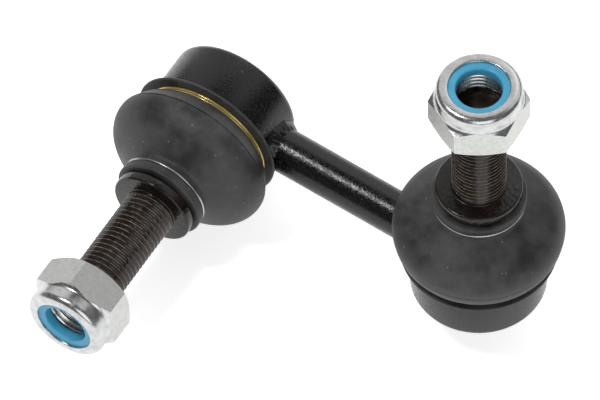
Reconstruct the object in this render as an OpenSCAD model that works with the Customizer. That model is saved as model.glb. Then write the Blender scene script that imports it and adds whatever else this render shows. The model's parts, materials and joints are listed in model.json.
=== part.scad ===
// Stabilizer link: two sealed ball joints on a short welded rod, their studs at a right angle.
// The origin is where the axis of stud B meets its flange seat. Z runs out along stud B,
// X runs from the ball of joint A to the ball of joint B.

/* [Link] */
// Distance between the two ball centres
link_length = 67.5; // [60:0.5:160]
// Angle of stud A from stud B, about the line of the balls
stud_angle = 90; // [0:5:180]
// Diameter of the connecting rod
rod_diameter = 10; // [8:0.25:11]
// Depth at which the rod meets each joint, behind the ball centre
rod_drop = 2.9; // [2:0.1:3.5]
// Leg of the fillet weld at each end of the rod
weld_leg = 2.2; // [1.4:0.1:3]
// Height of the flange seat above the ball centre
seat_height = 26.6; // [26:0.1:38]

/* [Ball joint] */
// Diameter of the ball
ball_diameter = 16; // [15:0.25:17]
// Diameter of the stud neck above the ball
neck_diameter = 9.5; // [8:0.25:9.5]
// Largest swing of the stud that the mouth lets through, in degrees
swing = 23; // [15:0.5:23]
// Wall of the plastic ball seat at the equator
seat_wall = 2.4; // [2:0.1:2.8]
// Height of the seat rim above the ball centre
seat_rise = 4.1; // [3.6:0.1:4.4]
// Overhang of the seat rim on the ball, measured down from the rim
seat_grip = 0.8; // [0.4:0.1:1.2]
// Diameter of the grease hole in the floor of the seat
grease_hole = 8; // [6:0.5:9]

/* [Housing] */
// Outer diameter of the housing
housing_diameter = 30.2; // [29.5:0.1:34]
// Width of the shoulder that the boot rim lies on
shoulder_width = 2.4; // [2:0.1:2.6]
// Height of the bead that keeps the boot on the neck
bead_height = 1.6; // [1.2:0.1:2]
// Rise of that bead above the neck
bead_rise = 0.6; // [0.4:0.1:0.8]
// Thickness of the edge rolled in over the cover plate
back_lip = 0.9; // [0.7:0.1:1.4]
// Rounding of the back edge
back_round = 2; // [1:0.1:2.2]
// Thickness of the cover plate
cover_thickness = 1.1; // [0.9:0.1:2]
// Depth by which the cover plate's recess is wider than the bore
cover_overlap = 1.8; // [1:0.1:2.2]
// Diameter of the dish in the cover plate
dish_diameter = 15; // [10:0.5:17]
// Depth of the dish in the cover plate
dish_depth = 0.4; // [0.2:0.05:0.6]
// Space for grease between the ball and the cover plate
grease_gap = 0.25; // [0.2:0.05:1]

/* [Boot] */
// Largest diameter of the boot
boot_diameter = 37.7; // [36.5:0.1:40]
// Share of the bulge's height that lies below its widest place
bulge_share = 0.38; // [0.36:0.01:0.41]
// Height of the crease on the bulge above the wire groove
crease_rise = 3.8; // [3:0.1:4.2]
// Step of the bulge above the crease
crease_step = 0.15; // [0.1:0.05:0.3]
// Wall of the boot
boot_wall = 2; // [1.4:0.1:2.2]
// Diameter of the rim that lies on the housing shoulder
rim_diameter = 34.8; // [33.5:0.1:36]
// Thickness of the rim
rim_thickness = 0.7; // [0.6:0.05:1.2]
// Wall of the boot under the wire ring
collar_wall = 1.8; // [1.4:0.05:2]
// Diameter of the boot neck under the stud flange
boot_neck_diameter = 19.8; // [19.4:0.1:20.6]
// Height of the lip above the small ring
boot_lip_height = 2.2; // [1.6:0.1:2.4]
// Rise of that lip above the boot neck
boot_lip_rise = 0.5; // [0.3:0.05:0.7]
// Straight run of the boot neck below the small ring
neck_run = 1.5; // [0.8:0.1:2]
// Gap between the boot lip and the stud flange
flange_gap = 0.6; // [0.3:0.1:0.9]

/* [Rings] */
// Wire of the large clamp ring
wire_diameter = 0.65; // [0.5:0.05:0.9]
// Turns of the large clamp ring
wire_turns = 2; // [2:1:3]
// Wire of the small ring at the boot neck
neck_wire_diameter = 0.65; // [0.5:0.05:0.8]

/* [Stud] */
// Thread diameter of the studs
thread_diameter = 12; // [10:0.5:12]
// Length of the stud above its flange seat
stud_length = 28.5; // [27.5:0.25:34]
// Diameter of the stud flange
flange_diameter = 19; // [18:0.1:20]
// Thickness of the stud flange
flange_thickness = 2.4; // [1.8:0.1:2.8]
// Bevel of the flange edges
flange_bevel = 0.4; // [0.2:0.05:0.6]
// Diameter of the stud inside the boot neck
boot_seat_diameter = 15; // [14:0.25:15.5]
// Diameter of the cone at the root of the thread
root_diameter = 13; // [12.4:0.1:13.6]
// Height of the cone at the root of the thread
root_height = 0.5; // [0.3:0.05:0.5]
// Depth of the flat on the far side of the ball
ball_flat = 0.5; // [0.3:0.05:0.8]

/* [Nut] */
// Width across the flats of the lock nut
nut_flats = 19; // [18.5:0.1:20]
// Diameter of its flat end faces, inside the corner chamfers
nut_face_diameter = 18.2; // [17.8:0.1:18.4]
// Height of the lock nut
nut_height = 12; // [11.8:0.1:13]
// Height of its hexagon
hex_height = 8; // [7:0.1:8.2]
// Diameter of the round collar that holds the nylon ring
collar_diameter = 18.6; // [17.8:0.1:18.8]
// Rounding of the collar's edge
collar_round = 2; // [1:0.1:2.2]
// Rounding between the collar and the hexagon
collar_fillet = 1; // [0.6:0.1:1.2]
// Inner diameter of the nylon ring
nylon_bore = 10; // [9.6:0.1:10.6]
// Height of the nylon ring
nylon_height = 2.6; // [2:0.1:2.8]
// Depth of the groove that holds the nylon ring
nylon_groove = 0.9; // [0.7:0.05:1.1]
// Thickness of the collar's lip over the nylon ring
collar_lip = 0.5; // [0.3:0.05:0.8]
// Bevel at the mouth of the thread
nut_bevel = 0.6; // [0.3:0.05:0.8]
// Height of each nut above the flange seat, as delivered
nut_rise = 24; // [23:0.1:25]
// Turn of nut A about its stud, in degrees
nut_turn_a = 19; // [0:1:60]
// Turn of nut B about its stud, in degrees
nut_turn_b = 17; // [0:1:60]

/* [Fits] */
// Running clearance between the ball and its seat, and between stud and nut
running_fit = 0.05; // [0.02:0.01:0.1]
// Clearance around the pressed-in seat, cover plate and nylon ring
press_gap = 0.02; // [0.01:0.01:0.05]
// Clearance of the rubber boot and the wire rings
boot_fit = 0.1; // [0.05:0.05:0.2]
// Clearance of the stud neck in the housing mouth at full swing
mouth_fit = 0.5; // [0.3:0.1:0.8]

/* [Hidden] */
$fn = 96;

// Cuts run past the faces they open by this much
cut = 1;

ball_r = ball_diameter / 2;
stud_neck_r = neck_diameter / 2;
housing_r = housing_diameter / 2;
rod_r = rod_diameter / 2;
thread_r = thread_diameter / 2;
boot_r = boot_diameter / 2;
rim_r = rim_diameter / 2;
flange_r = flange_diameter / 2;

// The rod as seen from a joint: it starts at the joint's origin and runs to the other joint's
rod_run = [link_length, -rod_drop * sin(stud_angle), rod_drop * (1 - cos(stud_angle))];
rod_way = rod_run / norm(rod_run);

// Heights above the place where the rod meets the joint, from the back to the end of the stud
shoulder = rod_r + max(rim_r, housing_r + weld_leg / 2) * rod_run.z / rod_run.x;
ball_height = rod_drop;
cover_top = ball_height - ball_r - grease_gap;
cover_bottom = cover_top - cover_thickness;
back = cover_bottom - back_lip;
seat_top = ball_height + seat_rise;
rim_bottom = shoulder + boot_fit;
groove_bottom = rim_bottom + rim_thickness;
groove_top = groove_bottom + wire_turns * wire_diameter + boot_fit;
housing_top = groove_top + bead_height;
flange_top = ball_height + seat_height;
flange_bottom = flange_top - flange_thickness;
boot_top = flange_bottom - flange_gap;
neck_groove_top = boot_top - boot_lip_height;
neck_groove_bottom = neck_groove_top - neck_wire_diameter - boot_fit;
nut_base = flange_top + nut_rise;
stud_tip = flange_top + stud_length;

// Radii of the housing and of what sits on it
bore_r = ball_r + seat_wall;
neck_r = housing_r - shoulder_width;
bead_r = neck_r + bead_rise;
cover_r = bore_r + cover_overlap;
collar_r = neck_r + boot_fit;
groove_r = collar_r + collar_wall;
boot_bore_r = boot_seat_diameter / 2 + boot_fit;
boot_neck_r = boot_neck_diameter / 2;
neck_groove_r = boot_neck_r - neck_wire_diameter / 2;

// The boot bulge is an ellipse about a circle as wide as the boot neck. It starts at a crease,
// and from the angle of its end on its slope runs straight to the foot of the neck
bulge_end = 55;
bulge_steps = 14;
slope_foot = neck_groove_bottom - neck_run;
bulge_rise = bulge_share * (slope_foot - groove_top);
bulge_centre = groove_top + bulge_rise;
bulge_half_height = (slope_foot - bulge_centre) * sin(bulge_end);
bulge_ring_r = boot_neck_r;
bulge_out = boot_r - bulge_ring_r;
bulge_start = -asin((bulge_rise - crease_rise) / bulge_half_height);
slope = bulge_half_height / bulge_out / tan(bulge_end);
crown = bulge_centre + bulge_half_height;
ceiling_end = 72;
neck_fillet = 0.4;
lip_edge = 0.4;

// Small breaks on turned edges
edge_break = 0.3;

// The end of the thread that the delivered nut covers is tapered, so that the nut starts easily
lead_margin = 0.2;
lead_taper = 0.3;
tip_chamfer = 1.1;

// Weld: its gap to the walls it sits on, its least leg, the share of the leg at its crown,
// and the height and number of its ripples
weld_seat = 0.03;
weld_thin = 0.05;
weld_crown = 0.55;
weld_ripple = 0.12;
weld_ripples = 24;

// Wire ring: the share of a turn in which it steps over, and where its ends lie
coil_step = 0.2;
coil_ends_angle = 230;

// Lock nut, with the angle of its first corner and the slope of its corner chamfers
nut_corner_r = nut_flats / 2 / cos(30);
nut_face_r = nut_face_diameter / 2;
hex_corner = 15;
nut_chamfer_angle = 30;
nut_bore_r = thread_r + running_fit;
nut_collar_r = collar_diameter / 2;
nylon_r = nut_bore_r + nylon_groove;
nylon_top = nut_height - collar_lip;
nylon_bottom = nylon_top - nylon_height;

// Points of an arc in the plane of a profile
function arc(centre, radii, from, to, steps) = [
    for (i = [0 : steps])
        let (angle = from + (to - from) * i / steps)
        [centre.x + radii.x * cos(angle), centre.y + radii.y * sin(angle)]
];

// Rise of a flat-wound coil: each turn lies flat and steps over to the next
function coil_rise(turn, pitch) =
    let (passed = turn + coil_step / 2, lap = floor(passed))
    pitch * (lap - 1 + min(1, (passed - lap) / coil_step));

// Point of a round wire that winds around the Z axis, at an angle of the wire's own section
function coil_point(turn, section, coil_r, wire_r, pitch) =
    let (r = coil_r + wire_r * cos(section))
    [r * cos(360 * turn), r * sin(360 * turn), coil_rise(turn, pitch) + wire_r * sin(section)];

// Radius that the swinging neck of the stud needs at a height
function mouth_r(height) =
    tan(swing) * (height - ball_height) + stud_neck_r / cos(swing) + mouth_fit;

// Places a joint's pieces: the local origin is where the rod meets it, local Z is the stud's axis
module at_joint_a() {
    translate([-link_length, 0, -seat_height])
        rotate([stud_angle, 0, 0])
            translate([0, 0, -ball_height]) children();
}

module at_joint_b() {
    translate([0, 0, -flange_top]) children();
}

// Turns local Z into the direction of the rod, as seen from a joint
module along_rod() {
    rotate([0, acos(rod_way.z), atan2(rod_way.y, rod_way.x)]) children();
}

// Turned cup: rolled back edge, boot neck with a retaining bead, and a mouth that holds the seat
module housing() {
    rotate_extrude() polygon(concat(
        [[bore_r, back]],
        arc([housing_r - back_round, back + back_round], [back_round, back_round], -90, 0, 8),
        [
            [housing_r, shoulder - edge_break],
            [housing_r - edge_break, shoulder],
            [neck_r, shoulder],
            [neck_r, groove_top],
            [bead_r, groove_top + bead_rise],
            [bead_r, housing_top - edge_break],
            [bead_r - edge_break, housing_top],
            [mouth_r(housing_top), housing_top],
            [mouth_r(seat_top), seat_top],
            [bore_r, seat_top],
            [bore_r, cover_top],
            [cover_r, cover_top],
            [cover_r, cover_bottom],
            [bore_r, cover_bottom]
        ]
    ));
}

// Disc with a shallow dished centre, held under the rolled back edge
module cover_plate() {
    dish_r = dish_diameter / 2;
    difference() {
        translate([0, 0, cover_bottom + press_gap])
            cylinder(r = cover_r - press_gap, h = cover_thickness - 2 * press_gap);
        translate([0, 0, cover_bottom - dish_depth])
            cylinder(r1 = dish_r + dish_depth, r2 = dish_r - dish_depth, h = 2 * dish_depth);
    }
}

// Plastic socket: round inside, with a grease hole in the floor and a mouth for the swing
module ball_seat() {
    rim_reach = seat_rise - seat_grip;
    difference() {
        translate([0, 0, cover_top + press_gap])
            cylinder(r = bore_r - press_gap, h = seat_top - cover_top - 2 * press_gap);
        translate([0, 0, ball_height])
            sphere(r = ball_r + running_fit);
        translate([0, 0, cover_top - cut])
            cylinder(d = grease_hole, h = ball_height - cover_top);
        translate([0, 0, ball_height])
            cylinder(r = sqrt(pow(ball_r, 2) - pow(rim_reach, 2)), h = ball_r);
    }
}

// Bulged rubber sleeve, clamped to the housing neck and to the stud
module boot() {
    rim_round = rim_thickness / 2;
    lip_r = boot_neck_r + boot_lip_rise;
    inner_out = bulge_out - boot_wall;
    inner_half = bulge_half_height - boot_wall;
    crease_r = bulge_ring_r + bulge_out * cos(bulge_start);
    inner_start = -asin((bulge_centre - housing_top - boot_fit) / inner_half);
    bead_clear_r = bead_r + boot_fit;
    rotate_extrude() polygon(concat(
        [[collar_r, rim_bottom]],
        arc([rim_r - rim_round, rim_bottom + rim_round], [rim_round, rim_round], -90, 90, 8),
        [
            [groove_r, groove_bottom],
            [groove_r, groove_top],
            [groove_r + wire_diameter, groove_top],
            [crease_r - crease_step, groove_top + crease_rise - crease_step]
        ],
        arc([bulge_ring_r, bulge_centre], [bulge_out, bulge_half_height],
            bulge_start, bulge_end, bulge_steps),
        [
            [boot_neck_r + neck_fillet, slope_foot - neck_fillet * slope],
            [boot_neck_r, slope_foot + neck_fillet],
            [boot_neck_r, neck_groove_bottom],
            [neck_groove_r, neck_groove_bottom],
            [neck_groove_r, neck_groove_top]
        ],
        arc([lip_r - lip_edge, neck_groove_top + lip_edge], [lip_edge, lip_edge], -90, 0, 4),
        arc([lip_r - lip_edge, boot_top - lip_edge], [lip_edge, lip_edge], 0, 90, 4),
        [
            [boot_bore_r, boot_top],
            [boot_bore_r, crown - boot_wall]
        ],
        arc([bulge_ring_r, bulge_centre], [inner_out, inner_half],
            ceiling_end, inner_start, bulge_steps),
        [
            [bead_clear_r, housing_top + boot_fit],
            [bead_clear_r, groove_top + bead_rise - boot_fit],
            [collar_r, groove_top - boot_fit]
        ]
    ));
}

// Spring wire wound flat around the boot collar, its ends on the side away from the rod
module clamp_ring() {
    sides = 10;
    rings_per_turn = 40;
    wire_r = wire_diameter / 2;
    coil_r = groove_r + boot_fit + wire_r;
    first = coil_step / 2;
    last = floor((wire_turns - coil_step) * rings_per_turn);
    points = [
        for (i = [0 : last])
            for (k = [0 : sides - 1])
                coil_point(first + i / rings_per_turn, 360 * k / sides, coil_r, wire_r, wire_diameter)
    ];
    walls = [
        for (i = [0 : last - 1])
            for (k = [0 : sides - 1])
                let (next = (k + 1) % sides)
                [i * sides + k, i * sides + next, (i + 1) * sides + next, (i + 1) * sides + k]
    ];
    ends = [
        [for (k = [0 : sides - 1]) sides - 1 - k],
        [for (k = [0 : sides - 1]) last * sides + k]
    ];
    middle = (groove_bottom + groove_top) / 2;
    translate([0, 0, middle - wire_diameter * (wire_turns - 1) / 2])
        rotate(coil_ends_angle)
            polyhedron(points = points, faces = concat(walls, ends));
}

// Closed wire ring in the groove of the boot neck
module neck_ring() {
    wire_r = neck_wire_diameter / 2;
    translate([0, 0, (neck_groove_bottom + neck_groove_top) / 2])
        rotate_extrude()
            translate([neck_groove_r + boot_fit / 2 + wire_r, 0])
                circle(r = wire_r, $fn = 32);
}

// Ball, necked shank, boot seat, flange, root cone and threaded end
module ball_stud() {
    boot_seat_r = boot_seat_diameter / 2;
    waist = housing_top + bead_height;
    boot_seat_bottom = crown - boot_wall;
    difference() {
        union() {
            translate([0, 0, ball_height])
                sphere(r = ball_r);
            rotate_extrude() polygon([
                [0, ball_height],
                [stud_neck_r, ball_height],
                [stud_neck_r, waist],
                [boot_seat_r, boot_seat_bottom],
                [boot_seat_r, flange_bottom],
                [flange_r - flange_bevel, flange_bottom],
                [flange_r, flange_bottom + flange_bevel],
                [flange_r, flange_top - flange_bevel],
                [flange_r - flange_bevel, flange_top],
                [root_diameter / 2, flange_top],
                [thread_r, flange_top + root_height],
                [thread_r, nut_base - lead_margin],
                [thread_r - lead_taper, stud_tip - tip_chamfer],
                [thread_r - lead_taper - tip_chamfer, stud_tip],
                [0, stud_tip]
            ]);
        }
        translate([0, 0, ball_height - 2 * ball_r + ball_flat])
            cylinder(r = ball_r, h = ball_r);
    }
}

// Hexagon with chamfered corners below a round collar, bored for the thread and the nylon ring
module lock_nut() {
    middle = hex_height / 2;
    cone_r = nut_face_r + middle / tan(nut_chamfer_angle);
    fillet_r = nut_collar_r + collar_fillet;
    toe_r = fillet_r - collar_fillet * sin(nut_chamfer_angle);
    fillet_height = hex_height - (toe_r - nut_face_r) * tan(nut_chamfer_angle)
        + collar_fillet * cos(nut_chamfer_angle);
    difference() {
        intersection() {
            rotate(hex_corner) cylinder(r = nut_corner_r, h = nut_height, $fn = 6);
            rotate_extrude() polygon(concat(
                [[0, 0], [nut_face_r, 0], [cone_r, middle]],
                arc([fillet_r, fillet_height], [collar_fillet, collar_fillet],
                    270 - nut_chamfer_angle, 180, 5),
                arc([nut_collar_r - collar_round, nut_height - collar_round],
                    [collar_round, collar_round], 0, 90, 8),
                [[0, nut_height]]
            ));
        }
        rotate_extrude() polygon([
            [0, -nut_bevel],
            [nut_bore_r + 2 * nut_bevel, -nut_bevel],
            [nut_bore_r, nut_bevel],
            [nut_bore_r, nylon_bottom],
            [nylon_r, nylon_bottom],
            [nylon_r, nylon_top],
            [nylon_r - edge_break, nylon_top],
            [nylon_r, nut_height],
            [nylon_r, nut_height + cut],
            [0, nut_height + cut]
        ]);
    }
}

// Locking ring, narrower than the thread until the stud is screwed through it
module nylon_ring() {
    bore = nylon_bore / 2;
    outer = nylon_r - press_gap;
    low = nylon_bottom + press_gap;
    high = nylon_top - press_gap;
    rotate_extrude() polygon([
        [bore + edge_break, low],
        [outer, low],
        [outer, high],
        [bore + edge_break, high],
        [bore, high - edge_break],
        [bore, low + edge_break]
    ]);
}

// Round bar between the housings, its ends coped to them
module connecting_rod() {
    color("#17181a")
    difference() {
        at_joint_a() along_rod() cylinder(r = rod_r, h = norm(rod_run));
        at_joint_a() translate([0, 0, -link_length]) cylinder(r = housing_r, h = 2 * link_length);
        at_joint_b() translate([0, 0, -link_length]) cylinder(r = housing_r, h = 2 * link_length);
    }
}

// Directions across the rod, as seen from a joint: towards the stud, and sideways
rod_up = let (up = [0, 0, 1] - rod_way.z * rod_way) up / norm(up);
rod_side = cross(rod_way, rod_up);

// Direction across the rod at an angle around it, from the side of the stud
function across_rod(angle) = cos(angle) * rod_up + sin(angle) * rod_side;

// Leg of the weld at an angle around the rod, thinned where the boot rim lies over it
function bead_leg(angle) =
    let (
        rise = across_rod(angle).z,
        leg = weld_leg * (1 + weld_ripple * sin(weld_ripples * angle)),
        room = (shoulder - housing_r * rod_way.z) / max(rise, weld_thin) - rod_r - weld_seat
    )
    max(weld_thin, min(leg, room));

// Distance along the rod at which a line beside its axis meets the housing's wall
function wall_reach(offset) =
    let (
        flat = [offset.x, offset.y],
        way = [rod_way.x, rod_way.y],
        along = flat * way,
        square = way * way
    )
    (sqrt(pow(along, 2) - square * (flat * flat - pow(housing_r + weld_seat, 2))) - along) / square;

// Section of the weld at an angle around the rod: its root, a point halfway out along the housing,
// its toe on the housing, its crown and its toe on the rod
function bead_section(angle) =
    let (
        leg = bead_leg(angle),
        inner = rod_r + weld_seat,
        beside = across_rod(angle),
        root = inner * beside,
        halfway = (inner + leg / 2) * beside,
        toe = (inner + leg) * beside,
        crest = (inner + leg * weld_crown) * beside
    )
    [
        root + wall_reach(root) * rod_way,
        halfway + wall_reach(halfway) * rod_way,
        toe + wall_reach(toe) * rod_way,
        crest + (wall_reach(crest) + leg * weld_crown) * rod_way,
        root + (wall_reach(root) + leg) * rod_way
    ];

// Rippled fillet weld that follows the saddle where the rod meets the housing
module weld_bead() {
    sections = 96;
    corners = 5;
    points = [for (i = [0 : sections - 1]) each bead_section(360 * i / sections)];
    faces = [
        for (i = [0 : sections - 1])
            for (k = [0 : corners - 1])
                let (j = (i + 1) % sections, next = (k + 1) % corners)
                [i * corners + k, i * corners + next, j * corners + next, j * corners + k]
    ];
    polyhedron(points = points, faces = faces);
}

module weld_bead_a() {
    color("#1f2022") at_joint_a() weld_bead();
}

module weld_bead_b() {
    color("#1f2022") at_joint_b() rotate(180) weld_bead();
}

module housing_a() {
    color("#17181a") at_joint_a() housing();
}

module housing_b() {
    color("#17181a") at_joint_b() housing();
}

module cover_plate_a() {
    color("#202124") at_joint_a() cover_plate();
}

module cover_plate_b() {
    color("#202124") at_joint_b() cover_plate();
}

module ball_seat_a() {
    color("#d8d4c4") at_joint_a() ball_seat();
}

module ball_seat_b() {
    color("#d8d4c4") at_joint_b() ball_seat();
}

module boot_a() {
    color("#2b2c2e") at_joint_a() boot();
}

module boot_b() {
    color("#2b2c2e") at_joint_b() boot();
}

module clamp_ring_a() {
    color("#b89b4a") at_joint_a() clamp_ring();
}

module clamp_ring_b() {
    color("#b89b4a") at_joint_b() clamp_ring();
}

module neck_ring_a() {
    color("#b4b6b8") at_joint_a() neck_ring();
}

module neck_ring_b() {
    color("#b4b6b8") at_joint_b() neck_ring();
}

module ball_stud_a() {
    color("#2e2824") at_joint_a() ball_stud();
}

module ball_stud_b() {
    color("#2e2824") at_joint_b() ball_stud();
}

module lock_nut_a() {
    color("#c4c6c8") at_joint_a() translate([0, 0, nut_base]) rotate(nut_turn_a) lock_nut();
}

module lock_nut_b() {
    color("#c4c6c8") at_joint_b() translate([0, 0, nut_base]) rotate(nut_turn_b) lock_nut();
}

module nylon_ring_a() {
    color("#5fa8c4") at_joint_a() translate([0, 0, nut_base]) nylon_ring();
}

module nylon_ring_b() {
    color("#5fa8c4") at_joint_b() translate([0, 0, nut_base]) nylon_ring();
}

connecting_rod();
weld_bead_a();
weld_bead_b();
housing_a();
cover_plate_a();
ball_seat_a();
boot_a();
clamp_ring_a();
neck_ring_a();
ball_stud_a();
lock_nut_a();
nylon_ring_a();
housing_b();
cover_plate_b();
ball_seat_b();
boot_b();
clamp_ring_b();
neck_ring_b();
ball_stud_b();
lock_nut_b();
nylon_ring_b();
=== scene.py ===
"""Dresses the stabilizer link, two sealed ball joints on a short welded rod, and sets it in a plain studio.

Meshes are modelled in millimetres about their own axis and then placed in the frame, which is in metres.
Heights along a joint's axis are counted from the seat of its stud flange, out along the stud.
"""

import json
import logging
import math
from dataclasses import dataclass
from enum import Enum

import bmesh
import bpy
from mathutils import Matrix, Vector, noise


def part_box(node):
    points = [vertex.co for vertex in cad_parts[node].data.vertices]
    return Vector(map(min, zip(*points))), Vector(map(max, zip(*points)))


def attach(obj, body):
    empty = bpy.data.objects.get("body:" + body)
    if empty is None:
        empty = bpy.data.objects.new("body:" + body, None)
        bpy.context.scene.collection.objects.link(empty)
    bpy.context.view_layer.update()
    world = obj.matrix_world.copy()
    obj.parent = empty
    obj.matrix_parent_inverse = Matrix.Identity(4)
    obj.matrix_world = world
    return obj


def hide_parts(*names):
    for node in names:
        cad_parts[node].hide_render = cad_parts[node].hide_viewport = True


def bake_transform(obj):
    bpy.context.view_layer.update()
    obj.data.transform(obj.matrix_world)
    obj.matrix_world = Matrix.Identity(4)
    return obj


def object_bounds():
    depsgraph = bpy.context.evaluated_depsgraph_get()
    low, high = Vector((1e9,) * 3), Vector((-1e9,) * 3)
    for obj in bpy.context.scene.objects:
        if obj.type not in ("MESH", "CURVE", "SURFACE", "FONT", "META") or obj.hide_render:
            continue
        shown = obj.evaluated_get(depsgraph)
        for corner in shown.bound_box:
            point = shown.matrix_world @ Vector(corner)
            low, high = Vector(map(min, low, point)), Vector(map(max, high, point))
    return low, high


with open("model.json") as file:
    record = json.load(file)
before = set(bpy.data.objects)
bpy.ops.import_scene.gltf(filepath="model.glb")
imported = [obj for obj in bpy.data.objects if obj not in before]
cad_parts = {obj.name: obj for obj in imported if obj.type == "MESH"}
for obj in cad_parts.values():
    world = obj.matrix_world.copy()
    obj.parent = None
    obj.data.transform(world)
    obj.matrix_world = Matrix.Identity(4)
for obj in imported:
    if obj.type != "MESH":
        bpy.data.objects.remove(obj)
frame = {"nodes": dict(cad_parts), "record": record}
CAD_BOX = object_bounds()

MM = 0.001
TURN = 2 * math.pi
UP = Vector((0, 0, 1))
LINK = "link"

Point = tuple[float, float]
Colour = tuple[float, float, float]

log = logging.getLogger("stabilizer_link")


class Side(Enum):
    """The two ball joints of the link."""

    A = "a"
    B = "b"


class Slot(Enum):
    """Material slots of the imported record."""

    PAINT = "black_paint"
    RUBBER = "boot_rubber"
    SEAT = "seat_plastic"
    GOLD = "gold_wire"
    WIRE = "steel_wire"
    STUD = "phosphated_steel"
    ZINC = "zinc_steel"
    NYLON = "blue_nylon"


@dataclass(frozen=True)
class Reach:
    """How far a CAD node reaches about its joint's axis, in millimetres."""

    radius: float
    low: float
    high: float


@dataclass(frozen=True)
class Place:
    """Where one ball joint sits: the middle of its flange seat, and the way its stud points."""

    side: Side
    seat: Vector
    axis: Vector

    @classmethod
    def of(cls, side: Side) -> "Place":
        """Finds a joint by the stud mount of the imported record.

        Args:
            side: The joint to find.

        Returns:
            The joint's place in the frame.
        """
        mounts = frame["record"]["mounts"]
        mount = next(m for m in mounts if m["name"] == f"stud_{side.value}")
        return cls(side, Vector(mount["pos_m"]), Vector(mount["axis"]))

    @property
    def matrix(self) -> Matrix:
        """From millimetres about the joint's axis to the frame."""
        turn = UP.rotation_difference(self.axis).to_matrix().to_4x4()
        return Matrix.Translation(self.seat) @ turn @ Matrix.Scale(MM, 4)

    def point(self, height: float) -> Vector:
        """The point of the joint's axis at a height."""
        return self.seat + self.axis * height * MM

    def name(self, kind: str) -> str:
        """The name of this joint's node or piece of a kind."""
        return f"{kind}_{self.side.value}"

    def add(self, piece: str, mesh: bmesh.types.BMesh, node: str, body: str, *finishes: "Finish") -> None:
        """Adds a rigid piece of this joint.

        Args:
            piece: Name of the piece, without its side.
            mesh: The mesh, about the joint's axis. It is used up.
            node: The CAD node that it replaces, without its side.
            body: The body that it rides on: the link, or a body of this joint, without its side.
            finishes: The piece's finishes, in the order of its material numbers.
        """
        rides = body if body == LINK else self.name(body)
        add_rigid(self.name(piece), mesh, self.matrix, self.name(node), rides, *finishes)

    def reach(self, kind: str) -> Reach:
        """Measures one of the joint's CAD nodes.

        Args:
            kind: The node's name without its side.

        Returns:
            The node's radius across the rod, and its lowest and highest place on the joint's axis.
        """
        back = self.matrix.inverted()
        corners = [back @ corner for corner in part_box(self.name(kind))]
        heights = [corner.z for corner in corners]
        return Reach(max(abs(corner.x) for corner in corners), min(heights), max(heights))


def arc(centre: Point, radii: Point, start: float, end: float, steps: int) -> list[Point]:
    """Points of an elliptic arc in the plane of a profile.

    Args:
        centre: Middle of the ellipse.
        radii: Its half widths along the two axes of the plane.
        start: First angle, in degrees.
        end: Last angle, in degrees.
        steps: Number of steps from the first angle to the last.

    Returns:
        The points, from the first angle to the last.
    """
    points = []
    for i in range(steps + 1):
        angle = math.radians(start + (end - start) * i / steps)
        points.append((centre[0] + radii[0] * math.cos(angle), centre[1] + radii[1] * math.sin(angle)))
    return points


def bend(start: Point, corner: Point, end: Point, steps: int) -> list[Point]:
    """Points of a smooth bend between two lines that meet in a corner.

    Args:
        start: Where the bend leaves the first line.
        corner: Where the lines meet.
        end: Where the bend joins the second line.
        steps: Number of steps along the bend.

    Returns:
        The points, from start to end.
    """
    points = []
    for i in range(steps + 1):
        t = i / steps
        near, middle, far = (1 - t) ** 2, 2 * t * (1 - t), t * t
        points.append(tuple(near * s + middle * c + far * e for s, c, e in zip(start, corner, end)))
    return points


def smooth_step(low: float, high: float, value: float) -> float:
    """A soft step from 0 at low to 1 at high."""
    t = min(1.0, max(0.0, (value - low) / (high - low)))
    return t * t * (3 - 2 * t)


def spin_profile(profile: list[Point], steps: int, closed: bool = True) -> bmesh.types.BMesh:
    """Turns a profile of radii and heights about the Z axis.

    Args:
        profile: The points of the profile.
        steps: Number of faces around.
        closed: Whether the last point is joined to the first.

    Returns:
        The turned mesh, with its normals outwards.
    """
    mesh = bmesh.new()
    verts = [mesh.verts.new((radius, 0, height)) for radius, height in profile]
    pairs = list(zip(verts, verts[1:]))
    if closed:
        pairs.append((verts[-1], verts[0]))
    edges = [mesh.edges.new(pair) for pair in pairs]
    bmesh.ops.spin(mesh, geom=verts + edges, cent=(0, 0, 0), axis=UP, dvec=(0, 0, 0),
                   angle=TURN, steps=steps, use_merge=True)
    tidy(mesh)
    return mesh


def tidy(mesh: bmesh.types.BMesh, distance: float = 1e-4) -> None:
    """Merges doubled points, drops faces without area and turns the normals outwards.

    Args:
        mesh: The mesh to tidy.
        distance: How close doubled points lie.
    """
    bmesh.ops.remove_doubles(mesh, verts=mesh.verts, dist=distance)
    bmesh.ops.dissolve_degenerate(mesh, edges=mesh.edges, dist=distance)
    bmesh.ops.recalc_face_normals(mesh, faces=mesh.faces)


def shade(mesh: bmesh.types.BMesh, sharp: float = 32) -> None:
    """Shades a mesh smooth, apart from its sharp edges.

    Args:
        mesh: The mesh to shade.
        sharp: Angle past which an edge is sharp, in degrees.
    """
    limit = math.radians(sharp)
    for face in mesh.faces:
        face.smooth = True
    for edge in mesh.edges:
        edge.smooth = edge.calc_face_angle(0) < limit


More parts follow.
